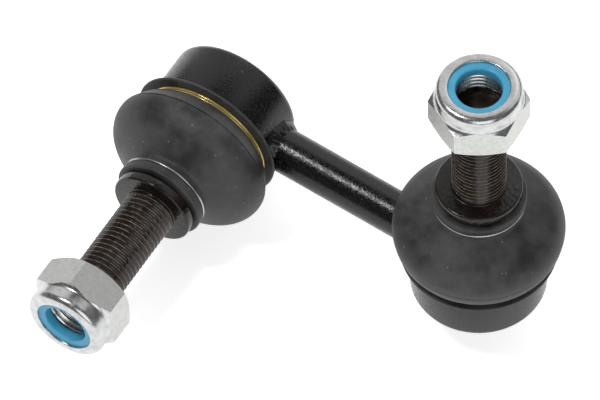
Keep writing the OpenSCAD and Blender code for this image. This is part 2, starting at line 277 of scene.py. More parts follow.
class Graph:
    """A shader node tree that is put together with one call per node."""

    def __init__(self, tree: bpy.types.NodeTree) -> None:
        """Takes the tree to work on."""
        self.tree = tree

    def node(self, kind: str, inputs: dict | None = None, **settings: object) -> bpy.types.Node:
        """Adds a node.

        Args:
            kind: The node's type.
            inputs: Values for its inputs, or sockets to link to them.
            settings: Values for its own settings.

        Returns:
            The new node.
        """
        made = self.tree.nodes.new(kind)
        for name, value in settings.items():
            setattr(made, name, value)
        for name, value in (inputs or {}).items():
            if isinstance(value, bpy.types.NodeSocket):
                self.tree.links.new(value, made.inputs[name])
            else:
                made.inputs[name].default_value = value
        return made

    def mix(self, share: object, first: object, second: object) -> bpy.types.NodeSocket:
        """Mixes two colours, and returns the socket of the result."""
        mixer = self.node("ShaderNodeMix", data_type="RGBA")
        ends = zip((mixer.inputs[0], mixer.inputs[6], mixer.inputs[7]), (share, first, second))
        for socket, value in ends:
            if isinstance(value, bpy.types.NodeSocket):
                self.tree.links.new(value, socket)
            else:
                socket.default_value = value
        return mixer.outputs[2]

    def spread(self, value: bpy.types.NodeSocket, low: float, high: float) -> bpy.types.NodeSocket:
        """Spreads a value from 0 to 1 over a range, and returns the socket of the result."""
        spreader = self.node("ShaderNodeMapRange", {"Value": value, "To Min": low, "To Max": high})
        return spreader.outputs["Result"]


class Pattern:
    """Shader node groups that several finishes share."""

    @staticmethod
    def start(name: str, inputs: dict[str, float], output: str) -> tuple[Graph, bpy.types.Node, bpy.types.Node]:
        """Makes an empty group with number inputs and one number output.

        Args:
            name: Name of the group.
            inputs: Names and default values of its inputs.
            output: Name of its output.

        Returns:
            The group's graph, and its input and output nodes.
        """
        tree = bpy.data.node_groups.new(name, "ShaderNodeTree")
        for label, value in inputs.items():
            socket = tree.interface.new_socket(label, in_out="INPUT", socket_type="NodeSocketFloat")
            socket.default_value = value
        tree.interface.new_socket(output, in_out="OUTPUT", socket_type="NodeSocketFloat")
        graph = Graph(tree)
        return graph, graph.node("NodeGroupInput"), graph.node("NodeGroupOutput")

    @classmethod
    def clouds(cls) -> bpy.types.NodeTree:
        """Soft uneven patches, as smudges on rubber or thin and thick paint."""
        found = bpy.data.node_groups.get("clouds")
        if found:
            return found
        graph, given, result = cls.start("clouds", {"Scale": 100, "From": 0.35, "To": 0.65}, "Mask")
        place = graph.node("ShaderNodeTexCoord").outputs["Object"]
        cloud = graph.node("ShaderNodeTexNoise", {"Vector": place, "Scale": given.outputs["Scale"],
                                                  "Detail": 5.0, "Roughness": 0.62, "Distortion": 0.15})
        shaped = graph.node("ShaderNodeMapRange", {"Value": cloud.outputs["Fac"],
                                                   "From Min": given.outputs["From"],
                                                   "From Max": given.outputs["To"]})
        graph.tree.links.new(shaped.outputs["Result"], result.inputs["Mask"])
        return graph.tree

    @classmethod
    def specks(cls) -> bpy.types.NodeTree:
        """Scattered small dots of uneven size, as dust."""
        found = bpy.data.node_groups.get("specks")
        if found:
            return found
        graph, given, result = cls.start("specks", {"Scale": 400, "Size": 0.2}, "Mask")
        place = graph.node("ShaderNodeTexCoord").outputs["Object"]
        cells = graph.node("ShaderNodeTexVoronoi", {"Vector": place, "Scale": given.outputs["Scale"]})
        parts = graph.node("ShaderNodeSeparateColor", {"Color": cells.outputs["Color"]})
        rare = graph.node("ShaderNodeMath", {0: parts.outputs["Red"], 1: 24.0}, operation="POWER")
        size = graph.node("ShaderNodeMath", {0: rare.outputs[0], 1: given.outputs["Size"]}, operation="MULTIPLY")
        dot = graph.node("ShaderNodeMath", {0: cells.outputs["Distance"], 1: size.outputs[0]},
                         operation="LESS_THAN")
        graph.tree.links.new(dot.outputs[0], result.inputs["Mask"])
        return graph.tree

    @classmethod
    def grain(cls) -> bpy.types.NodeTree:
        """Fine roughness of a surface, as a height."""
        found = bpy.data.node_groups.get("grain")
        if found:
            return found
        graph, given, result = cls.start("grain", {"Scale": 2000}, "Height")
        place = graph.node("ShaderNodeTexCoord").outputs["Object"]
        fine = graph.node("ShaderNodeTexNoise", {"Vector": place, "Scale": given.outputs["Scale"],
                                                 "Detail": 3.0, "Roughness": 0.55})
        graph.tree.links.new(fine.outputs["Fac"], result.inputs["Height"])
        return graph.tree


@dataclass(frozen=True)
class Finish:
    """A surface: patches between two colours, specks, an uneven gloss and a fine grain."""

    name: str
    slot: Slot
    dark: Colour
    light: Colour
    patches: float = 90
    patch_from: float = 0.35
    patch_to: float = 0.65
    speck: Colour = (0.2, 0.2, 0.2)
    speck_scale: float = 500
    speck_size: float = 0.0
    gloss_rough: float = 0.3
    matte_rough: float = 0.45
    metallic: float = 0.0
    grain_scale: float = 2500
    grain_height: float = 0.01
    specular: float = 0.5
    # A lighter colour laid on where the mesh marks its thread crests: a painted highlight along the crests.
    crest_highlight_colour: Colour | None = None
    crest_highlight_rough: float = 0.3

    @property
    def material(self) -> bpy.types.Material:
        """The finish's material, made at its first use."""
        return bpy.data.materials.get(self.name) or self.make()

    def make(self) -> bpy.types.Material:
        """Builds the material.

        Returns:
            The new material.
        """
        made = bpy.data.materials.new(self.name)
        made.use_nodes = True
        graph = Graph(made.node_tree)
        shader = made.node_tree.nodes["Principled BSDF"]
        shader.inputs["Metallic"].default_value = self.metallic
        shader.inputs["Specular IOR Level"].default_value = self.specular
        mask = self.place(graph, Pattern.clouds(), Scale=self.patches, From=self.patch_from, To=self.patch_to)
        colour = graph.mix(mask, (*self.dark, 1), (*self.light, 1))
        rough = graph.spread(mask, self.gloss_rough, self.matte_rough)
        if self.speck_size:
            dots = self.place(graph, Pattern.specks(), Scale=self.speck_scale, Size=self.speck_size)
            colour = graph.mix(dots, colour, (*self.speck, 1))
        # Painted highlight: the marked crests are mixed towards the lighter crest colour.
        if self.crest_highlight_colour:
            crest_highlight_mask = graph.node("ShaderNodeAttribute", attribute_name="crest_highlight_mask").outputs["Fac"]
            colour = graph.mix(crest_highlight_mask, colour, (*self.crest_highlight_colour, 1))
        height = self.place(graph, Pattern.grain(), Scale=self.grain_scale)
        bump = graph.node("ShaderNodeBump", {"Height": height, "Strength": 1.0,
                                             "Distance": self.grain_height * MM})
        made.node_tree.links.new(colour, shader.inputs["Base Color"])
        made.node_tree.links.new(rough, shader.inputs["Roughness"])
        made.node_tree.links.new(bump.outputs["Normal"], shader.inputs["Normal"])
        return made

    @staticmethod
    def place(graph: Graph, tree: bpy.types.NodeTree, **values: float) -> bpy.types.NodeSocket:
        """Places a shared pattern with its own values, and returns its output."""
        node = graph.node("ShaderNodeGroup", node_tree=tree)
        for name, value in values.items():
            node.inputs[name].default_value = value
        return node.outputs[0]


PAINT = Finish("satin_black_paint", Slot.PAINT, (0.003, 0.003, 0.0031), (0.0065, 0.0064, 0.0064), patches=1500,
               patch_from=0.42, patch_to=0.58, speck=(0.07, 0.07, 0.07), speck_scale=1300, speck_size=0.3,
               gloss_rough=0.1, matte_rough=0.34, grain_scale=2600, grain_height=0.05, specular=0.45)
WELD = Finish("black_paint_on_weld", Slot.PAINT, (0.003, 0.003, 0.0031), (0.0065, 0.0064, 0.0064), patches=1200,
              gloss_rough=0.08, matte_rough=0.3, grain_scale=1300, grain_height=0.04, specular=0.4)
RUBBER = Finish("charcoal_rubber", Slot.RUBBER, (0.021, 0.0206, 0.0208), (0.084, 0.0818, 0.0826), patches=130,
                patch_from=0.36, patch_to=0.66, speck=(0.18, 0.18, 0.18), speck_scale=1300, speck_size=0.3,
                gloss_rough=0.45, matte_rough=0.64, grain_scale=2400, grain_height=0.02, specular=0.45)
SEAT_PLASTIC = Finish("pale_acetal", Slot.SEAT, (0.7, 0.67, 0.58), (0.78, 0.75, 0.66), patches=200)
GOLD = Finish("gold_spring_wire", Slot.GOLD, (0.56, 0.42, 0.13), (0.8, 0.65, 0.28), patches=160, metallic=0.55,
              gloss_rough=0.2, matte_rough=0.28, grain_scale=4000, grain_height=0.0005)
WIRE = Finish("bright_spring_wire", Slot.WIRE, (0.36, 0.35, 0.34), (0.56, 0.55, 0.53), patches=160, metallic=1.0,
              gloss_rough=0.24, matte_rough=0.4, grain_scale=4000, grain_height=0.004)
STUD = Finish("phosphated_stud", Slot.STUD, (0.0055, 0.004, 0.0034), (0.018, 0.0125, 0.0102), patches=260,
              speck=(0.12, 0.11, 0.1), speck_scale=1500, speck_size=0.26,
              gloss_rough=0.1, matte_rough=0.24, grain_scale=1100, grain_height=0.09, specular=0.35)
# The thread's lighter crest colour is a painted highlight along the crests.
THREAD = Finish("phosphated_thread", Slot.STUD, (0.014, 0.009, 0.0062), (0.042, 0.0275, 0.0195), patches=500,
                speck=(0.2, 0.19, 0.18), speck_scale=1700, speck_size=0.3,
                gloss_rough=0.14, matte_rough=0.28, grain_scale=3000, grain_height=0.015, specular=0.35,
                crest_highlight_colour=(0.36, 0.31, 0.27))
ZINC = Finish("zinc_nut", Slot.ZINC, (0.46, 0.465, 0.465), (0.64, 0.645, 0.645), patches=500, metallic=1.0,
              gloss_rough=0.18, matte_rough=0.32, grain_scale=2200, grain_height=0.008)
ZINC_FLAT = Finish("zinc_nut_flats", Slot.ZINC, (0.5, 0.508, 0.488), (0.65, 0.66, 0.635), patches=900, metallic=1.0,
                   gloss_rough=0.32, matte_rough=0.48, grain_scale=2800, grain_height=0.03)
NYLON = Finish("light_blue_nylon", Slot.NYLON, (0.07, 0.41, 0.66), (0.095, 0.5, 0.76), patches=300,
               gloss_rough=0.3, matte_rough=0.4, grain_scale=3000, grain_height=0.004)


def add_piece(name: str, mesh: bmesh.types.BMesh, matrix: Matrix, *finishes: Finish) -> bpy.types.Object:
    """Places a finished mesh in the frame as a new object.

    Args:
        name: Name of the piece.
        mesh: The mesh, in millimetres. It is used up.
        matrix: From millimetres to the frame.
        finishes: The piece's finishes, in the order of its material numbers.

    Returns:
        The new object, at the origin, with its place in its mesh.
    """
    mesh.transform(matrix)
    data = bpy.data.meshes.new(name)
    mesh.to_mesh(data)
    mesh.free()
    for finish in finishes:
        data.materials.append(finish.material)
    piece = bpy.data.objects.new(name, data)
    bpy.context.scene.collection.objects.link(piece)
    log.info("%s: %d faces", name, len(data.polygons))
    return piece


def add_rigid(name: str, mesh: bmesh.types.BMesh, matrix: Matrix, node: str, body: str, *finishes: Finish) -> None:
    """Adds a piece that stands for a CAD node and moves with one body.

    Args:
        name: Name of the piece.
        mesh: The mesh, in millimetres. It is used up.
        matrix: From millimetres to the frame.
        node: The CAD node that it replaces.
        body: The body that it rides on.
        finishes: The piece's finishes, in the order of its material numbers.
    """
    piece = add_piece(name, mesh, matrix, *finishes)
    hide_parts(node)
    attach(piece, body)


def dress_node(node: str, finish: Finish) -> None:
    """Gives a CAD node that stays as it is its finish."""
    data = frame["nodes"][node].data
    data.materials.clear()
    data.materials.append(finish.material)
    log.info("%s: CAD node, %s", node, finish.name)


@dataclass(frozen=True)
class Housing:
    """The turned cup of a joint with its rolled back edge, and the cover plate in it."""

    place: Place
    bore: float = 10.4
    neck: float = 12.7
    mouth: float = 8.6
    back_round: float = 2.0
    lip: float = 0.9
    lip_round: float = 0.4
    recess: float = 12.2
    dish: float = 7.5
    dish_depth: float = 0.4
    dish_slope: float = 0.05
    dish_bend: float = 1.0
    edge: float = 0.35
    rim_gap: float = 0.1
    steps: int = 144

    def build(self) -> None:
        """Builds the cup and the cover plate."""
        cup = self.place.reach("housing")
        plate = self.place.reach("cover_plate")
        shoulder = self.place.reach("boot").low - self.rim_gap
        turned = spin_profile(self.cup_profile(cup, plate, shoulder), self.steps)
        shade(turned)
        self.place.add("housing_shell", turned, "housing", LINK, PAINT)
        disc = spin_profile(self.plate_profile(plate), self.steps, closed=False)
        shade(disc)
        self.place.add("cover_disc", disc, "cover_plate", LINK, PAINT)

    def cup_profile(self, cup: Reach, plate: Reach, shoulder: float) -> list[Point]:
        """Outlines half of the cup.

        Args:
            cup: Reach of the housing.
            plate: Reach of the cover plate.
            shoulder: Height of the shoulder under the boot's rim.

        Returns:
            The closed outline.
        """
        round_off = (self.back_round, self.back_round)
        lip_edge = (self.lip_round, self.lip_round)
        edge = (self.edge, self.edge)
        return [
            (self.bore, cup.low + self.lip),
            *arc((self.bore + self.lip_round, cup.low + self.lip_round), lip_edge, 180, 270, 5),
            *arc((cup.radius - self.back_round, cup.low + self.back_round), round_off, -90, 0, 12),
            *arc((cup.radius - self.edge, shoulder - self.edge), edge, 0, 90, 4),
            (self.neck, shoulder),
            (self.neck, cup.high),
            (self.mouth, cup.high),
            (self.bore, plate.high),
            (self.recess, plate.high),
            (self.recess, cup.low + self.lip),
        ]

    def plate_profile(self, plate: Reach) -> list[Point]:
        """Outlines half of the cover plate, with its shallow dish.

        Args:
            plate: Reach of the cover plate.

        Returns:
            The outline, from the middle of the outside to the middle of the inside.
        """
        dished = plate.low + self.dish_depth
        half = self.dish_depth / 2
        lower = (self.dish + half, plate.low + half)
        upper = (lower[0] + self.dish_slope, lower[1] - self.dish_slope)
        rim = self.dish + self.dish_depth
        return [
            (0, dished),
            *bend((self.dish - self.dish_bend, dished), (self.dish, dished), lower, 4),
            *bend(upper, (rim, plate.low), (self.dish + self.dish_bend, plate.low), 4),
            (plate.radius, plate.low),
            (plate.radius, plate.high),
            (0, plate.high),
        ]


@dataclass(frozen=True)
class Bulge:
    """Where a boot bulges: its widest place, its half height and the foot of the slope above it."""

    middle: float
    half: float
    foot: float


@dataclass(frozen=True)
class Boot:
    """The bulged rubber sleeve of a joint, in two pieces that meet at the bulge."""

    place: Place
    band_slant: float
    wall: float = 2.0
    collar: float = 12.8
    rim: float = 17.4
    rim_round: float = 0.35
    bulge_share: float = 0.38
    neck_run: float = 1.5
    crease_rise: float = 4.6
    crease_step: float = 0.25
    crease_width: float = 0.4
    crease_cut: float = 0.1
    seam_angle: float = 8
    slope_angle: float = 55
    inner_low: float = -46
    inner_high: float = 72
    neck: float = 9.9
    neck_bend: float = 1.2
    lip: float = 10.4
    lip_round: float = 0.4
    bore: float = 7.6
    flare: float = 1.9
    play: float = 0.05
    steps: int = 144

    def build(self) -> None:
        """Builds the two pieces."""
        sleeve = self.place.reach("boot")
        coil = self.place.reach("clamp_ring")
        ring = self.place.reach("neck_ring")
        bulge = self.bulge(coil, ring)
        seam = bulge.middle + bulge.half * math.sin(math.radians(self.seam_angle))
        self.add("boot_lower", self.lower_profile(sleeve, coil, bulge),
                 (LINK, self.place.name("boot_body")), (coil.high, seam))
        self.add("boot_upper", self.upper_profile(sleeve, ring, bulge),
                 (self.place.name("boot_body"), self.place.name("neck_body")), (seam, bulge.foot))

    def add(self, kind: str, profile: list[Point], bodies: tuple[str, str], span: Point) -> None:
        """Adds one piece of the sleeve.

        Args:
            kind: Name of the piece, without its side.
            profile: Its closed outline.
            bodies: Not used.
            span: Heights at its two ends, whose points on the axis are worked out and not used.
        """
        mesh = spin_profile(profile, self.steps)
        shade(mesh, 50)
        piece = add_piece(self.place.name(kind), mesh, self.place.matrix, RUBBER)
        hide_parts(self.place.name("boot"))
        self.place.point(span[0])
        self.place.point(span[1])
        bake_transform(piece)

    def bulge(self, coil: Reach, ring: Reach) -> Bulge:
        """Fits the bulge between the two rings.

        Args:
            coil: Reach of the wire ring.
            ring: Reach of the small ring at the neck.

        Returns:
            The bulge's heights.
        """
        low = coil.high + self.play
        foot = ring.low - self.play - self.neck_run
        middle = low + self.bulge_share * (foot - low)
        return Bulge(middle, (foot - middle) * math.sin(math.radians(self.slope_angle)), foot)

    def follow(self, sleeve: Reach, bulge: Bulge, start: float, end: float, inset: float = 0.0) -> list[Point]:
        """Follows the bulge.

        Args:
            sleeve: Reach of the boot.
            bulge: Heights of the bulge.
            start: First angle on the bulge, in degrees.
            end: Last angle on the bulge, in degrees.
            inset: Depth under the outer face.

        Returns:
            Points along the bulge, about one for each degree and a half.
        """
        radii = (sleeve.radius - self.neck - inset, bulge.half - inset)
        return arc((self.neck, bulge.middle), radii, start, end, max(2, int(abs(end - start) / 1.5)))

    def lower_profile(self, sleeve: Reach, coil: Reach, bulge: Bulge) -> list[Point]:
        """Outlines the rim, the wire groove and the lower half of the bulge.

        Args:
            sleeve: Reach of the boot.
            coil: Reach of the wire ring in its groove.
            bulge: Heights of the bulge.

        Returns:
            The closed outline.
        """
        wire = (coil.high - coil.low) / 2
        groove = coil.radius - wire - 2 * self.play
        rim_round = (self.rim_round, self.rim_round)
        low, high = coil.low - self.play, coil.high + self.play
        start = -math.degrees(math.asin((bulge.middle - high - self.crease_rise) / bulge.half))
        side = self.follow(sleeve, bulge, start, self.seam_angle)
        radius, height = side[0]
        band = (radius - self.crease_step / 2, height - self.crease_width)
        underside = (radius - self.band_slant, high + self.play)
        return [
            (self.collar, sleeve.low),
            *arc((self.rim - self.rim_round, sleeve.low + self.rim_round), rim_round, -90, 90, 8),
            (groove, low),
            (groove, high),
            (coil.radius - 2 * self.play, high),
            *bend((coil.radius - self.play, high + self.play), underside, band, 12),
            (radius - self.crease_step - self.crease_cut, height - self.crease_width / 2),
            *side,
            *self.follow(sleeve, bulge, self.seam_angle, self.inner_low, self.wall),
            (self.collar, coil.high),
        ]

    def upper_profile(self, sleeve: Reach, ring: Reach, bulge: Bulge) -> list[Point]:
        """Outlines the upper half of the bulge, the neck with the groove of the small ring, and the lip.

        Args:
            sleeve: Reach of the boot.
            ring: Reach of the small ring in its groove.
            bulge: Heights of the bulge.

        Returns:
            The closed outline.
        """
        lip_round = (self.lip_round, self.lip_round)
        side = self.follow(sleeve, bulge, self.seam_angle, self.slope_angle)
        fall = (bulge.foot - side[-1][1]) / (side[-1][0] - self.neck)
        start = (self.neck + self.neck_bend, bulge.foot - self.neck_bend * fall)
        groove = ring.radius - (ring.high - ring.low) - self.play
        return [
            *side,
            *bend(start, (self.neck, bulge.foot), (self.neck, bulge.foot + self.neck_bend / 2), 8),
            (self.neck, ring.low - 2 * self.play),
            (groove, ring.low - self.play),
            (groove, ring.high + self.play),
            *arc((self.lip - self.lip_round, ring.high + self.play + self.lip_round), lip_round, -90, 0, 4),
            *arc((self.lip - self.lip_round, sleeve.high - self.lip_round), lip_round, 0, 90, 4),
            (self.bore, sleeve.high),
            (self.bore, bulge.foot),
            (self.bore + self.flare, bulge.middle + bulge.half - self.wall),
            *self.follow(sleeve, bulge, self.inner_high, self.seam_angle, self.wall),
        ]


@dataclass(frozen=True)
class Rings:
    """The two-turn wire ring in a boot's groove, and the small ring at its neck."""

    place: Place
    turns: int = 2
    step_share: float = 0.2
    wire_share: float = 0.92
    ends_angle: float = 230
    sides: int = 16
    steps: int = 144

    def build(self) -> None:
        """Builds both rings."""
        coil = self.place.reach("clamp_ring")
        wire = (coil.high - coil.low) / self.turns
        mesh = self.coil(coil.radius - wire * self.wire_share / 2, coil.low + wire / 2, wire)
        bmesh.ops.rotate(mesh, verts=mesh.verts, matrix=Matrix.Rotation(math.radians(self.ends_angle), 3, "Z"))
        shade(mesh, 50)
        self.place.add("wire_coil", mesh, "clamp_ring", LINK, GOLD)
        ring = self.place.reach("neck_ring")
        half = (ring.high - ring.low) / 2
        middle = (ring.radius - half, (ring.high + ring.low) / 2)
        mesh = spin_profile(arc(middle, (half, half), 0, 360 - 360 / self.sides, self.sides - 1), self.steps)
        shade(mesh, 50)
        self.place.add("small_ring", mesh, "neck_ring", "neck_body", WIRE)

    def coil(self, radius: float, height: float, wire: float) -> bmesh.types.BMesh:
        """Winds a round wire into flat turns, each of which steps over to the next.

        Args:
            radius: Radius of the coil at the middle of the wire.
            height: Height of the first turn.
            wire: Rise of each turn, of which the wire fills a share.

        Returns:
            The coil's mesh.
        """
        mesh = bmesh.new()
        upright = Matrix.Translation((radius, 0, height)) @ Matrix.Rotation(math.pi / 2, 4, "X")
        made = bmesh.ops.create_circle(mesh, segments=self.sides, radius=wire * self.wire_share / 2, matrix=upright)
        last = made["verts"] + list({edge for vert in made["verts"] for edge in vert.link_edges})
        flat = 1 - self.step_share / 2
        stretches = [(flat, 0.0)]
        for _ in range(self.turns - 2):
            stretches += [(self.step_share, wire), (1 - self.step_share, 0.0)]
        stretches += [(self.step_share, wire), (flat, 0.0)]
        for share, rise in stretches:
            steps = round(self.steps * share)
            spun = bmesh.ops.spin(mesh, geom=last, cent=(0, 0, 0), axis=UP, dvec=(0, 0, rise / steps),
                                  angle=TURN * share, steps=steps)
            last = spun["geom_last"]
        bmesh.ops.holes_fill(mesh, edges=[edge for edge in mesh.edges if edge.is_boundary], sides=self.sides)
        tidy(mesh)
        return mesh


@dataclass(frozen=True)
class Thread:
    """A screw thread, the same helix for the studs and the nuts, so that they stay in mesh."""

    pitch: float = 1.25
    crest: float = 5.95
    root: float = 5.24
    crest_flat: float = 0.12
    crest_fall: float = 0.06
    crest_ease: float = 0.02
    root_flat: float = 0.2
    steps: int = 72

    def profile(self, widen: float, least: float) -> list[Point]:
        """Outlines one turn of the thread, from the middle of a root to the middle of the next.

        Args:
            widen: How much larger its radii are than the stud's.
            least: The smallest radius.

        Returns:
            Radii and heights over one pitch.
        """
        half_crest = self.crest_flat / 2
        half_root = self.root_flat / 2
        middle = self.pitch / 2
        points = [
            (self.root, 0),
            (self.root, half_root),
            (self.crest - self.crest_fall, middle - half_crest - self.crest_ease),
            (self.crest, middle - half_crest / 2),
            (self.crest, middle + half_crest / 2),
            (self.crest - self.crest_fall, middle + half_crest + self.crest_ease),
            (self.root, self.pitch - half_root),
            (self.root, self.pitch),
        ]
        return [(max(least, radius + widen), height) for radius, height in points]

    def wind(self, low: float, high: float, widen: float = 0.0, least: float = 0.0) -> bmesh.types.BMesh:
        """Winds the thread between two heights, open at both ends.

        Args:
            low: Lower end.
            high: Upper end.
            widen: How much larger its radii are than the stud's.
            least: The smallest radius.

        Returns:
            The thread's mesh.
        """
        first = math.floor(low / self.pitch) - 1
        turns = math.ceil(high / self.pitch) + 1 - first
        mesh = bmesh.new()
        start = first * self.pitch
        verts = [mesh.verts.new((radius, 0, start + height)) for radius, height in self.profile(widen, least)]
        edges = [mesh.edges.new(pair) for pair in zip(verts, verts[1:])]
        bmesh.ops.spin(mesh, geom=verts + edges, cent=(0, 0, 0), axis=UP, angle=TURN,
                       dvec=(0, 0, self.pitch / self.steps), steps=self.steps)
        one_turn = mesh.verts[:] + mesh.edges[:] + mesh.faces[:]
        for turn in range(1, turns):
            copy = bmesh.ops.duplicate(mesh, geom=one_turn)
            moved = [item for item in copy["geom"] if isinstance(item, bmesh.types.BMVert)]
            bmesh.ops.translate(mesh, verts=moved, vec=(0, 0, turn * self.pitch))
        bmesh.ops.remove_doubles(mesh, verts=mesh.verts, dist=0.004)
        for height, way in ((low, -1), (high, 1)):
            bmesh.ops.bisect_plane(mesh, geom=mesh.verts[:] + mesh.edges[:] + mesh.faces[:], dist=1e-5,
                                   plane_co=(0, 0, height), plane_no=(0, 0, way), clear_outer=True)
        return mesh


def boundary_loop(mesh: bmesh.types.BMesh, height: float) -> list[bmesh.types.BMEdge]:
    """The open edges of a mesh that lie at a height."""
    return [edge for edge in mesh.edges
            if edge.is_boundary and all(abs(vert.co.z - height) < 1e-3 for vert in edge.verts)]


@dataclass(frozen=True)
class BallStud:
    """The ball stud: ball, necked shank, flange and threaded end."""

    place: Place
    thread: Thread = Thread()
    ball_centre: float = -26.6
    ball: float = 8.0
    shank: float = 4.75
    waist: float = -18.4
    waist_length: float = 2.0
    boot_seat: float = 7.5
    boot_seat_low: float = -11.0
    flange_thickness: float = 2.4
    flange_edge: float = 0.45
    root: float = 6.3
    root_rise: float = 0.4
    sunk: float = 0.2
    run_out: Point = (0.4, 0.62)
    run_out_depth: float = 0.15
    tip_chamfer: float = 1.1
    # How the painted highlight along the thread crests is laid: patch scale, depth under the crest, top edge and
    # patch range.
    crest_highlight_patch_scale: float = 1.6
    crest_highlight_depth: float = 0.04
    crest_highlight_top: float = 0.005
    crest_highlight_patches: Point = (0.1, 0.7)
    steps: int = 144

    def build(self) -> None:
        """Builds the turned body and the thread."""
        reach = self.place.reach("ball_stud")
        body = spin_profile(self.body_profile(reach), self.steps, closed=False)
        shade(body)
        self.place.add("stud_shank", body, "ball_stud", "stud_body", STUD)
        self.place.add("stud_thread", self.threaded_end(reach), "ball_stud", "stud_body", THREAD)

    def body_profile(self, reach: Reach) -> list[Point]:
        """Outlines half of the stud up to the thread.

        Args:
            reach: Reach of the ball stud.

        Returns:
            The outline, from the ball to the root of the thread.
        """
        flat = math.degrees(math.asin((reach.low - self.ball_centre) / self.ball))
        top = math.degrees(math.acos(self.shank / self.ball))
        edge = (self.flange_edge, self.flange_edge)
        low = -self.flange_thickness
        return [
            (0, reach.low),
            *arc((0, self.ball_centre), (self.ball, self.ball), flat, top, 32),
            *bend((self.shank, self.waist), (self.shank, self.waist + self.waist_length),
                  (self.boot_seat, self.boot_seat_low), 6),
            (self.boot_seat, low),
            *arc((reach.radius - self.flange_edge, low + self.flange_edge), edge, -90, 0, 5),
            *arc((reach.radius - self.flange_edge, -self.flange_edge), edge, 0, 90, 5),
            (self.root, 0),
            *bend((self.root, 0), (self.thread.crest, 0), (self.thread.crest, self.root_rise), 4)[1:],
            (0, self.root_rise),
        ]

    def threaded_end(self, reach: Reach) -> bmesh.types.BMesh:
        """Winds the thread, lets it run out at the flange, chamfers its tip and paints lighter patches along its
        crests as a painted highlight.

        Args:
            reach: Reach of the ball stud.

        Returns:
            The closed mesh.
        """
        low = self.root_rise - self.sunk
        mesh = self.thread.wind(low, reach.high)
        chamfer_start = reach.high - self.tip_chamfer
        plain = self.thread.crest - self.run_out_depth
        for vert in mesh.verts:
            radius = math.hypot(vert.co.x, vert.co.y)
            fade = smooth_step(*self.run_out, vert.co.z)
            wanted = plain + (radius - plain) * fade
            wanted = min(wanted, self.thread.crest - max(0.0, vert.co.z - chamfer_start))
            vert.co.x *= wanted / radius
            vert.co.y *= wanted / radius
        for height in (low, reach.high):
            bmesh.ops.edgeloop_fill(mesh, edges=boundary_loop(mesh, height))
        bmesh.ops.recalc_face_normals(mesh, faces=mesh.faces)
        shade(mesh, 60)
        # Painted highlight: lighter patches along the crests, kept as a mask on the points.
        crest_highlight_mask = mesh.verts.layers.float.new("crest_highlight_mask")
        for vert in mesh.verts:
            radius = math.hypot(vert.co.x, vert.co.y)
            patch = 0.5 + 0.5 * noise.noise(vert.co * self.crest_highlight_patch_scale)
            crest = smooth_step(self.thread.crest - self.crest_highlight_depth, self.thread.crest - self.crest_highlight_top, radius)
            vert[crest_highlight_mask] = crest * smooth_step(*self.crest_highlight_patches, patch)
        return mesh


